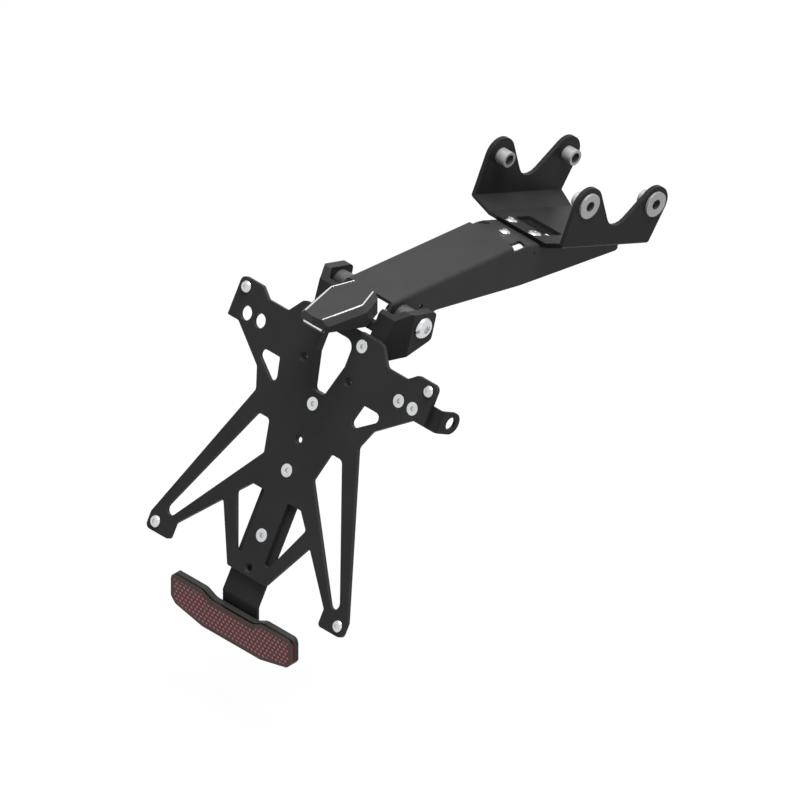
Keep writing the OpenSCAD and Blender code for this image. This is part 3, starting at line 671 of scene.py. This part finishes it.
class Piece:
    """A new mesh that stands for one node of the frame."""

    # The points round each ring
    STEPS: ClassVar[int] = 48
    # Points closer than this are one, in metres
    MERGE: ClassVar[float] = 0.00001
    # Edges that turn less than this are shaded smooth, in degrees
    SMOOTH: ClassVar[float] = 32.0

    def __init__(self, node: str, body: Body) -> None:
        """Starts an empty mesh for the node."""
        self.node = node
        self.body = body
        self.bm = bmesh.new()

    def stack(self, rings: Sequence[Ring], place: Matrix, closed: bool = False) -> None:
        """Draws a shape out from ring to ring.

        Args:
            rings: The rings in order.
            place: Where the shape goes, in millimetres.
            closed: Whether the last ring joins the first, as in a nut.
        """
        start = bmesh.ops.create_circle(self.bm, cap_ends=False, radius=1.0, segments=self.STEPS)
        verts = start["verts"]
        made = list(verts)
        edges = list({edge for vert in verts for edge in vert.link_edges})
        self._shape(verts, rings[0])
        first = edges
        for ring in rings[1:]:
            drawn = bmesh.ops.extrude_edge_only(self.bm, edges=edges)["geom"]
            verts = [part for part in drawn if isinstance(part, bmesh.types.BMVert)]
            fresh = set(verts)
            edges = [
                part for part in drawn
                if isinstance(part, bmesh.types.BMEdge) and fresh.issuperset(part.verts)
            ]
            self._shape(verts, ring)
            made += verts
        if not closed:
            for loop in (first, edges):
                bmesh.ops.contextual_create(self.bm, geom=loop)
        bmesh.ops.transform(self.bm, matrix=Matrix.Scale(MM, 4) @ place, verts=made)

    @staticmethod
    def _shape(verts: Iterable[bmesh.types.BMVert], ring: Ring) -> None:
        """Moves a loop's vertices onto a ring, each at its own angle."""
        for vert in verts:
            vert.co = ring.point(math.atan2(vert.co.y, vert.co.x))

    def finish(self, material: bpy.types.Material, slot: str) -> bpy.types.Object:
        """Closes the mesh, faces it outwards and puts it in the scene.

        Args:
            material: The piece's material.
            slot: The record's material slot; not used.

        Returns:
            The finished object.
        """
        bmesh.ops.remove_doubles(self.bm, verts=self.bm.verts[:], dist=self.MERGE)
        bmesh.ops.recalc_face_normals(self.bm, faces=self.bm.faces[:])
        for face in self.bm.faces:
            face.smooth = True
        for edge in self.bm.edges:
            edge.smooth = edge.calc_face_angle(0.0) < math.radians(self.SMOOTH)
        mesh = bpy.data.meshes.new(f"{self.node}_detailed")
        self.bm.to_mesh(mesh)
        self.bm.free()
        mesh.materials.append(material)
        made = bpy.data.objects.new(f"{self.node}_detailed", mesh)
        bpy.context.scene.collection.objects.link(made)
        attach(made, self.body.value)
        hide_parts(self.node)
        LOG.info("built %s with %d faces", made.name, len(mesh.polygons))
        return made


@dataclass(frozen=True)
class Thread:
    """A screw thread, drawn as ridges at its pitch, in millimetres.

    Attributes:
        size: The outer diameter.
        pitch: The distance between ridges.
    """

    # The depth of a ridge as a share of the pitch, and the play of a nut's thread
    DEPTH: ClassVar[float] = 0.32
    PLAY: ClassVar[float] = 0.05

    size: float
    pitch: float

    def bore(self) -> float:
        """The radius of a nut's bore."""
        return self.size / 2 + self.PLAY

    def ridges(self, low: float, high: float, outside: bool = True) -> list[Ring]:
        """The rings between two heights.

        Args:
            low: Where the thread starts.
            high: Where it ends; it may lie below low.
            outside: Whether the thread is on a shank.

        Returns:
            The rings, crest and root in turn.
        """
        depth = self.DEPTH * self.pitch * (-1 if outside else 1)
        crest = self.size / 2 if outside else self.bore()
        count = max(1, int(abs(high - low) / self.pitch))
        stride = (high - low) / count
        rings = []
        for turn in range(count):
            base = low + turn * stride
            rings += [Ring(crest, base + 0.1 * stride), Ring(crest + depth, base + 0.5 * stride),
                      Ring(crest + depth, base + 0.6 * stride)]
        return rings + [Ring(crest, high)]


@dataclass(frozen=True)
class Screw:
    """A screw with a six-sided socket, its seat or face at z = 0, in millimetres.

    Attributes:
        thread: The thread of the shank.
        head: The head's diameter.
        key: The socket's width across its flats.
        length: The shank's length below z = 0.
        dome: The head's height, or 0 for a countersunk head.
    """

    thread: Thread
    head: float
    key: float
    length: float
    dome: float = 0.0

    def rings(self) -> list[Ring]:
        """The screw from its tip to the floor of its socket."""
        half_key = self.key / 2
        rim = half_key / math.cos(math.pi / 6) + 0.3
        head, top, floor = self._domed(rim) if self.dome else self._sunk(rim)
        neck = -0.9 if self.dome else -self._sink() - 0.4
        return [
            Ring(self.thread.size / 2 * 0.78, -self.length),
            *self.thread.ridges(-self.length + 0.35, neck),
            *head,
            Ring(half_key + 0.14, top - 0.02, True), Ring(half_key, top - 0.2, True),
            Ring(half_key, floor, True), Ring(half_key * 0.5, floor - 0.02), Ring(0.08, floor - 0.25),
        ]

    def _sink(self) -> float:
        """The depth of a countersunk head."""
        return self.head / 2 - self.thread.size / 2

    def _domed(self, rim: float) -> tuple[list[Ring], float, float]:
        """A button head, rounded from its edge to the socket.

        Args:
            rim: The radius round the socket.

        Returns:
            The head's rings, the height of the rim and that of the socket's floor.
        """
        half = self.head / 2
        edge = [
            Ring(self.thread.size / 2, 0.0), Ring(half - 0.2, 0.0),
            Ring(half, 0.15), Ring(half, 0.12 * self.dome + 0.2),
        ]
        low, turn = math.radians(16), math.acos(min(1.0, rim / half))
        angles = [low + (turn - low) * part / 5 for part in range(6)]
        crown = [Ring(half * math.cos(angle) - 0.02, self.dome * math.sin(angle)) for angle in angles]
        return edge + crown, self.dome * math.sin(turn), self.dome * 0.4

    def _sunk(self, rim: float) -> tuple[list[Ring], float, float]:
        """A countersunk head, with a narrow chamfer round its face.

        Args:
            rim: The radius round the socket.

        Returns:
            The head's rings, the height of the rim and that of the socket's floor.
        """
        half, top = self.head / 2, -0.03
        head = [
            Ring(self.thread.size / 2, -self._sink() - 0.1), Ring(half - 0.1, -0.12),
            Ring(half - 0.16, top), Ring(rim, top),
        ]
        return head, top, -0.9 * self._sink()


@dataclass(frozen=True)
class Nut:
    """A six-sided nut standing on z = 0, in millimetres.

    Attributes:
        thread: The thread of its bore.
        across: The width across its flats.
        height: The nut's height.
    """

    thread: Thread
    across: float
    height: float

    def rings(self) -> list[Ring]:
        """The nut from its lower face round to its bore and back."""
        half, bore = self.across / 2, self.thread.bore()
        face = half * 0.96
        slope = math.tan(math.radians(30))
        inset = (half - face) * slope
        return [
            Ring(face, 0.0), Ring(half, inset, True, slope), Ring(half, self.height - inset, True, -slope),
            Ring(face, self.height), Ring(bore + 0.4, self.height),
            *self.thread.ridges(self.height - 0.4, 0.4, outside=False),
            Ring(bore + 0.4, 0.0), Ring(face, 0.0),
        ]


@dataclass(frozen=True)
class Layout:
    """The places that the part's source gives, in millimetres and degrees.

    Attributes:
        pivot: The middle of the hinge axis.
        base_rear: The middle of the rear edge of the bracket's base, on its upper face.
        base_slope: How steeply the base falls towards the front.
        bracket_t: The thickness of the bracket's sheet.
        arm_t: The thickness of the arm's sheet.
        plate_t: The thickness of the holder.
        kink_y: Y of the arm's cross bend.
        lean: How far the holder leans from upright.
        pivot_above: How far the hinge axis lies above the holder's centre, along the holder.
        pivot_behind: How far the hinge axis lies behind the holder's front face.
    """

    pivot: tuple[float, float, float] = (0.0, -145.6, -20.3)
    base_rear: tuple[float, float, float] = (0.0, -23.1, -24.8)
    base_slope: float = 23.8
    bracket_t: float = 3.0
    arm_t: float = 2.0
    plate_t: float = 3.0
    kink_y: float = -44.0
    lean: float = 30.0
    pivot_above: float = 107.0
    pivot_behind: float = 25.2

    def on_holder(self, u: float, v: float, out: float = 0.0) -> Matrix:
        """A place on the holder's front face.

        Args:
            u: Distance to the right of the middle.
            v: Height above the centre, along the holder.
            out: Distance in front of the face.

        Returns:
            The place, with Z out of the face.
        """
        return (
            Matrix.Translation(self.pivot)
            @ Matrix.Rotation(math.radians(90 - self.lean), 4, "X")
            @ Matrix.Translation((u, v - self.pivot_above, self.pivot_behind + out))
        )

    def on_base(self, x: float, u: float, out: float = 0.0) -> Matrix:
        """A place on the bracket's sloping base.

        Args:
            x: Distance to the right of the middle.
            u: Distance ahead of the base's rear edge.
            out: Distance above the base.

        Returns:
            The place, with Z out of the base.
        """
        tilt = Matrix.Rotation(math.radians(-self.base_slope), 4, "X")
        return Matrix.Translation(self.base_rear) @ tilt @ Matrix.Translation((x, u, out))

    def on_arm(self, u: float, out: float = 0.0) -> Matrix:
        """A place on the arm's front part, under the bracket.

        Args:
            u: Distance ahead of the cross bend.
            out: Distance above the sheet.

        Returns:
            The place, with Z out of the sheet.
        """
        slope = math.radians(self.base_slope)
        under_y = self.base_rear[1] - self.bracket_t * math.sin(slope)
        under_z = self.base_rear[2] - self.bracket_t * math.cos(slope)
        kink = (0.0, self.kink_y, under_z + (under_y - self.kink_y) * math.tan(slope))
        bend = Matrix.Translation(kink) @ Matrix.Rotation(-slope, 4, "X")
        return bend @ Matrix.Translation((0.0, u, out))

    def beside_pivot(self, x: float, side: int) -> Matrix:
        """A place on the hinge axis.

        Args:
            x: Distance from the middle.
            side: 1 on the right and -1 on the left.

        Returns:
            The place, with Z away from the middle.
        """
        turn = Matrix.Rotation(math.radians(90 * side), 4, "Y")
        return Matrix.Translation(Vector(self.pivot) + Vector((side * x, 0.0, 0.0))) @ turn

    def straight_back(self, behind: float, below: float) -> Matrix:
        """A place on the level axis through the reflector.

        Args:
            behind: Y, from the holder's centre.
            below: Z, from the holder's centre.

        Returns:
            The place, with Z towards the front of the bike.
        """
        centre = self.on_holder(0.0, 0.0).translation
        spot = Matrix.Translation((0.0, centre.y + behind, centre.z + below))
        return spot @ Matrix.Rotation(math.radians(-90), 4, "X")


M3, M4, M5, M8 = Thread(3.0, 0.5), Thread(4.0, 0.7), Thread(5.0, 0.8), Thread(8.0, 1.25)
LAYOUT = Layout()


@dataclass(frozen=True)
class Bolting:
    """Like screws with their nuts, in one node each.

    Attributes:
        name: What the nodes' names start with.
        ending: What they end with after screw or nut, such as an s.
        body: The body that carries them.
        screw: One of the screws.
        nut: One of the nuts.
        grip: The thickness that they hold together, in millimetres.
    """

    name: str
    ending: str
    body: Body
    screw: Screw
    nut: Nut
    grip: float

    def build(self, seats: Iterable[Matrix], material: bpy.types.Material) -> None:
        """Builds every screw and nut in detail.

        Args:
            seats: Where the screws are seated, with Z away from the nuts.
            material: The fasteners' material.
        """
        screws = Piece(f"{self.name}_screw{self.ending}", self.body)
        nuts = Piece(f"{self.name}_nut{self.ending}", self.body)
        below = Matrix.Translation((0.0, 0.0, -self.grip - self.nut.height))
        for seat in seats:
            screws.stack(self.screw.rings(), seat)
            nuts.stack(self.nut.rings(), seat @ below, closed=True)
        for piece in (screws, nuts):
            piece.finish(material, "hardware")


@dataclass
class Assembly:
    """Pieces that are built and dressed together.

    Attributes:
        finishes: Every finish of the object.
    """

    # The finish of each carried-over node
    DRESS: ClassVar[Mapping[str, str]] = {}

    finishes: Finishes

    def hardware(self) -> bpy.types.Material:
        """The material of the fasteners."""
        return self.finishes.made["bright hardware"]

    def build(self) -> None:
        """Builds the pieces that replace plain nodes."""

    def dress(self) -> None:
        """Dresses the carried-over nodes."""
        for node, finish in self.DRESS.items():
            self.finishes.dress(node, finish)


@dataclass
class FrontAssembly(Assembly):
    """The subframe bracket, its bushings, the arm and the fasteners that join them.

    Attributes:
        screw_x: How far the bracket's screws lie from the middle.
        screw_u: How far they lie ahead of the base's rear edge.
        arm_screw_u: How far the arm's screw lies ahead of the cross bend.
        joint_screw: A screw through the bracket and the arm.
        joint_nut: Its nut.
        arm_screw: The screw through the arm alone.
        arm_nut: Its nut.
    """

    DRESS = {
        "subframe_bracket": "bracket powder coat with painted shade",
        "arm": "arm powder coat",
        **{f"bushing_{end}_{side}": f"turned {end} bushings"
           for end in ("rear", "front") for side in SIDES},
    }

    screw_x: float = 10.4
    screw_u: float = 5.2
    arm_screw_u: float = 11.0
    joint_screw: Screw = Screw(M5, 8.8, 3.0, 9.5, 1.6)
    joint_nut: Nut = Nut(M5, 8.0, 4.0)
    arm_screw: Screw = Screw(M4, 7.6, 2.5, 5.6, 2.2)
    arm_nut: Nut = Nut(M4, 7.0, 3.2)

    def build(self) -> None:
        """Builds the fasteners in detail."""
        hardware = self.hardware()
        both = LAYOUT.bracket_t + LAYOUT.arm_t
        seats = [LAYOUT.on_base(way * self.screw_x, self.screw_u) for way in SIDES.values()]
        Bolting("bracket", "s", Body.ARM, self.joint_screw, self.joint_nut, both).build(seats, hardware)
        seats = [LAYOUT.on_arm(self.arm_screw_u)]
        Bolting("arm", "", Body.ARM, self.arm_screw, self.arm_nut, LAYOUT.arm_t).build(seats, hardware)


@dataclass
class Hinge(Assembly):
    """The hinge bolts with their spacers and nuts, and the forked bracket.

    Attributes:
        seat: How far a bolt's head is seated from the middle.
        nut_x: How far a nut's inner face lies from the middle.
        bolt: One hinge bolt.
        nut: Its nut.
        flange_screw: A screw through the holder into the bracket's flange.
        screw_places: Where those screws lie on the holder, across and up.
    """

    DRESS = {
        "hinge_bracket": "fork anodising",
        **{f"spacer_{side}": "turned spacers" for side in SIDES},
    }

    seat: float = 39.8
    nut_x: float = 12.1
    bolt: Screw = Screw(M8, 14.0, 5.0, 28.7, 4.0)
    nut: Nut = Nut(M8, 13.0, 6.5)
    flange_screw: Screw = Screw(M5, 8.8, 3.0, 6.9)
    screw_places: tuple[tuple[float, float], ...] = ((0.0, 36.0), (19.5, 83.8), (-19.5, 83.8))

    def build(self) -> None:
        """Builds the bolts, nuts and flange screws in detail."""
        hardware = self.hardware()
        nuts = Piece("pivot_nuts", Body.ARM)
        for side, way in SIDES.items():
            bolt = Piece(f"pivot_bolt_{side}", Body.ARM)
            bolt.stack(self.bolt.rings(), LAYOUT.beside_pivot(self.seat, way))
            bolt.finish(hardware, "hardware")
            nuts.stack(self.nut.rings(), LAYOUT.beside_pivot(self.nut_x, way), closed=True)
        nuts.finish(hardware, "hardware")
        screws = Piece("hinge_screws", Body.HOLDER)
        for u, v in self.screw_places:
            screws.stack(self.flange_screw.rings(), LAYOUT.on_holder(u, v))
        screws.finish(hardware, "hardware")


@dataclass
class Holder(Assembly):
    """The number plate holder with its corner screws.

    Attributes:
        half_pitch: How far the corner screws lie from the holder's centre, both ways.
        corner_screw: A screw that holds the number plate.
        corner_nut: Its nut.
    """

    DRESS = {"plate_holder": "holder powder coat"}

    half_pitch: float = 80.0
    corner_screw: Screw = Screw(M4, 7.6, 2.5, 6.7, 2.2)
    corner_nut: Nut = Nut(M4, 7.0, 3.2)

    def build(self) -> None:
        """Builds the four screws and their nuts in detail."""
        reach = (-self.half_pitch, self.half_pitch)
        seats = [LAYOUT.on_holder(u, v) for u in reach for v in reach]
        corner = Bolting("corner", "s", Body.HOLDER, self.corner_screw, self.corner_nut, LAYOUT.plate_t)
        corner.build(seats, self.hardware())


@dataclass
class IndicatorTab(Assembly):
    """The bent tab for an indicator, and its two screws.

    Attributes:
        places: How far the screws lie from the holder's middle.
        v: How far they lie above its centre, along the holder.
        tab_t: The thickness of the tab.
        screw: One of the screws.
        nut: Its nut.
    """

    DRESS = {"indicator_tab": "tab powder coat"}

    places: tuple[float, float] = (61.0, 73.0)
    v: float = 65.2
    tab_t: float = 2.0
    screw: Screw = Screw(M5, 8.8, 3.0, 9.5)
    nut: Nut = Nut(M5, 8.0, 4.0)

    def build(self) -> None:
        """Builds the screws and nuts in detail."""
        tab = Bolting("tab", "s", Body.HOLDER, self.screw, self.nut, LAYOUT.plate_t + self.tab_t)
        seats = [LAYOUT.on_holder(u, self.v) for u in self.places]
        tab.build(seats, self.hardware())


@dataclass
class ReflectorUnit(Assembly):
    """The reflector with its lens, its stud and the strip that carries it.

    Attributes:
        screw_v: How far the strip's screws lie above the holder's centre, along the holder.
        strip_t: The thickness of the strip.
        strip_end_y: Y of the strip's lower end, from the holder's centre.
        stud_start_y: Y at which the stud starts, from the holder's centre.
        stud_length: The stud's length.
        stud_z: Z of the stud's axis, from the holder's centre.
        screw: A screw through the holder and the strip.
        nut: Its nut, and the stud's.
    """

    DRESS = {
        "reflector_strip": "strip powder coat",
        "reflector_housing": "reflector back",
        "reflector_lens": "reflector red",
    }

    screw_v: tuple[float, float] = (-9.5, -53.7)
    strip_t: float = 2.0
    strip_end_y: float = -45.75
    stud_start_y: float = -50.2
    stud_length: float = 11.45
    stud_z: float = -100.5
    screw: Screw = Screw(M5, 8.8, 3.0, 9.5)
    nut: Nut = Nut(M5, 8.0, 4.0)

    def build(self) -> None:
        """Builds the strip's fasteners, the stud and its nut in detail."""
        hardware = self.hardware()
        strip = Bolting("strip", "s", Body.HOLDER, self.screw, self.nut, LAYOUT.plate_t + self.strip_t)
        strip.build([LAYOUT.on_holder(0.0, v) for v in self.screw_v], hardware)
        stud, stud_nut = Piece("reflector_stud", Body.HOLDER), Piece("reflector_nut", Body.HOLDER)
        shank = [Ring(2.5, 0.0), *M5.ridges(1.0, self.stud_length - 0.4), Ring(2.0, self.stud_length)]
        stud.stack(shank, LAYOUT.straight_back(self.stud_start_y, self.stud_z))
        nut_place = LAYOUT.straight_back(self.strip_end_y + self.strip_t, self.stud_z)
        stud_nut.stack(self.nut.rings(), nut_place, closed=True)
        for piece in (stud, stud_nut):
            piece.finish(hardware, "hardware")


@dataclass
class PlateLamp(Assembly):
    """The plate lamp on the hinge bracket's bar.

    Attributes:
        screw_x: How far the screws under the bar lie from the middle.
        screw_y: Y of the screws.
        bar_z: Z of the bar's underside.
        screw: One of the screws.
    """

    DRESS = {"lamp_housing": "lamp anodising", "lamp_lens": "lamp cover", "lamp_trims": "bright line"}

    screw_x: float = 6.0
    screw_y: float = -167.6
    bar_z: float = -20.9
    screw: Screw = Screw(M3, 5.6, 2.0, 10.5, 1.7)

    def build(self) -> None:
        """Builds the two screws under the bar in detail."""
        screws = Piece("lamp_screws", Body.HOLDER)
        upside_down = Matrix.Rotation(math.pi, 4, "X")
        for way in SIDES.values():
            spot = Matrix.Translation((way * self.screw_x, self.screw_y, self.bar_z))
            screws.stack(self.screw.rings(), spot @ upside_down)
        screws.finish(self.hardware(), "hardware")


@dataclass
class SoftBox:
    """One large soft light.

    Attributes:
        name: The light's name.
        towards: The direction from the object to the light.
        level: The brightness that it gives a white surface facing it.
        size: The width of the light, in metres.
    """

    name: str
    towards: tuple[float, float, float]
    level: float
    size: float = 1.0

    def place(self, target: Vector, reach: float = 1.5) -> None:
        """Puts the light in the scene.

        Args:
            target: What it shines on.
            reach: Its distance from there, in metres.
        """
        lamp = bpy.data.lights.new(self.name, "AREA")
        lamp.shape = "SQUARE"
        lamp.size = self.size
        lamp.energy = self.level * math.pi**2 * reach**2
        made = bpy.data.objects.new(self.name, lamp)
        away = Vector(self.towards).normalized()
        made.location = target + away * reach
        made.rotation_euler = away.to_track_quat("Z", "Y").to_euler()
        bpy.context.scene.collection.objects.link(made)


@dataclass
class Studio:
    """The camera, the lights, the pale floor and the white surroundings.

    Attributes:
        target: What the camera and the lights are aimed at, in metres.
        width: The width that the picture takes in, in metres.
        distance: The camera's distance, in metres.
        ambient: How much the surroundings light the object.
        floor_half: Half the floor's width, in metres.
        floor_grey: The floor's colour where the lights and shadows fall on it.
        floor_white: The strength of the white that is seen over that.
        floor_share: How much of the floor's look is that white.
        lights: The soft lights.
    """

    target: tuple[float, float, float] = (0.0, -0.1259, -0.1049)
    width: float = 0.4972
    distance: float = 1.6
    ambient: float = 0.22
    floor_half: float = 5.0
    floor_grey: float = 0.42
    floor_white: float = 1.12
    floor_share: float = 0.86
    lights: tuple[SoftBox, ...] = field(
        default_factory=lambda: (
            SoftBox("overhead", (0.08, 0.20, 0.97), 1.18),
            SoftBox("side fill", (0.9, -0.35, 0.35), 0.03, 0.8),
        )
    )

    def build(self, floor_z: float) -> None:
        """Makes the whole studio.

        Args:
            floor_z: The height of the floor, in metres.
        """
        self.camera()
        for light in self.lights:
            light.place(Vector(self.target))
        self.surroundings()
        self.floor(floor_z)
        bpy.context.scene.view_settings.view_transform = "Standard"

    def camera(self) -> None:
        """Makes a camera without perspective, looking from the right, behind and above."""
        data = bpy.data.cameras.new("camera")
        data.type = "ORTHO"
        data.ortho_scale = self.width
        made = bpy.data.objects.new("camera", data)
        away = Vector((1.0, -1.0, 1.0)).normalized()
        made.location = Vector(self.target) + away * self.distance
        made.rotation_euler = away.to_track_quat("Z", "Y").to_euler()
        bpy.context.scene.collection.objects.link(made)
        bpy.context.scene.camera = made

    @staticmethod
    def seen(graph: Graph) -> Value:
        """Is 1 for rays that show the surroundings, and 0 for rays that only light the object."""
        camera, glossy, through = (
            graph.node("ShaderNodeLightPath", out=f"Is {kind} Ray")
            for kind in ("Camera", "Glossy", "Transmission")
        )
        return camera.most(glossy).most(through)

    def surroundings(self) -> None:
        """Makes white surroundings that light the object only softly."""
        world = bpy.data.worlds.new("surroundings")
        bpy.context.scene.world = world
        world.use_nodes = True
        graph = Graph(world.node_tree)
        strength = self.ambient + self.seen(graph) * (1.0 - self.ambient)
        sky = graph.node("ShaderNodeBackground", None, {"Color": opaque(WHITE), "Strength": strength})
        graph.node("ShaderNodeOutputWorld", None, {"Surface": sky})

    def floor(self, z: float) -> None:
        """Makes the pale floor, which keeps a faint shadow.

        Args:
            z: The floor's height, in metres.
        """
        made = bpy.data.materials.new("pale floor")
        made.use_nodes = True
        graph = Graph(made.node_tree)
        shadowed = graph.node("ShaderNodeBsdfDiffuse", None, {"Color": opaque(WHITE, self.floor_grey)})
        glow = {"Color": opaque(WHITE), "Strength": self.floor_white}
        white = graph.node("ShaderNodeEmission", None, glow)
        share = self.seen(graph) * self.floor_share
        surface = graph.node("ShaderNodeMixShader", None, {0: share, 1: shadowed, 2: white})
        graph.node("ShaderNodeOutputMaterial", None, {"Surface": surface})
        sheet = bmesh.new()
        bmesh.ops.create_grid(sheet, x_segments=1, y_segments=1, size=self.floor_half)
        bmesh.ops.translate(sheet, vec=(0.0, 0.0, z), verts=sheet.verts[:])
        mesh = bpy.data.meshes.new("floor")
        sheet.to_mesh(mesh)
        sheet.free()
        mesh.materials.append(made)
        ground = bpy.data.objects.new("floor", mesh)
        bpy.context.scene.collection.objects.link(ground)
        ground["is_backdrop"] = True


def corners(box: tuple[Vector, Vector]) -> list[list[float]]:
    """A box's two corners as plain lists."""
    return [[float(part) for part in corner] for corner in box]


def main() -> None:
    """Builds and dresses the whole object and its studio."""
    logging.basicConfig(level=logging.INFO, format="%(message)s")
    solid = corners(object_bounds())
    Studio().build(solid[0][2] - FLOOR_DROP)
    finishes = Finishes()
    for assembly in (
        FrontAssembly(finishes), Hinge(finishes), Holder(finishes),
        IndicatorTab(finishes), ReflectorUnit(finishes), PlateLamp(finishes),
    ):
        assembly.build()
        assembly.dress()


if __name__ == "__main__":
    main()
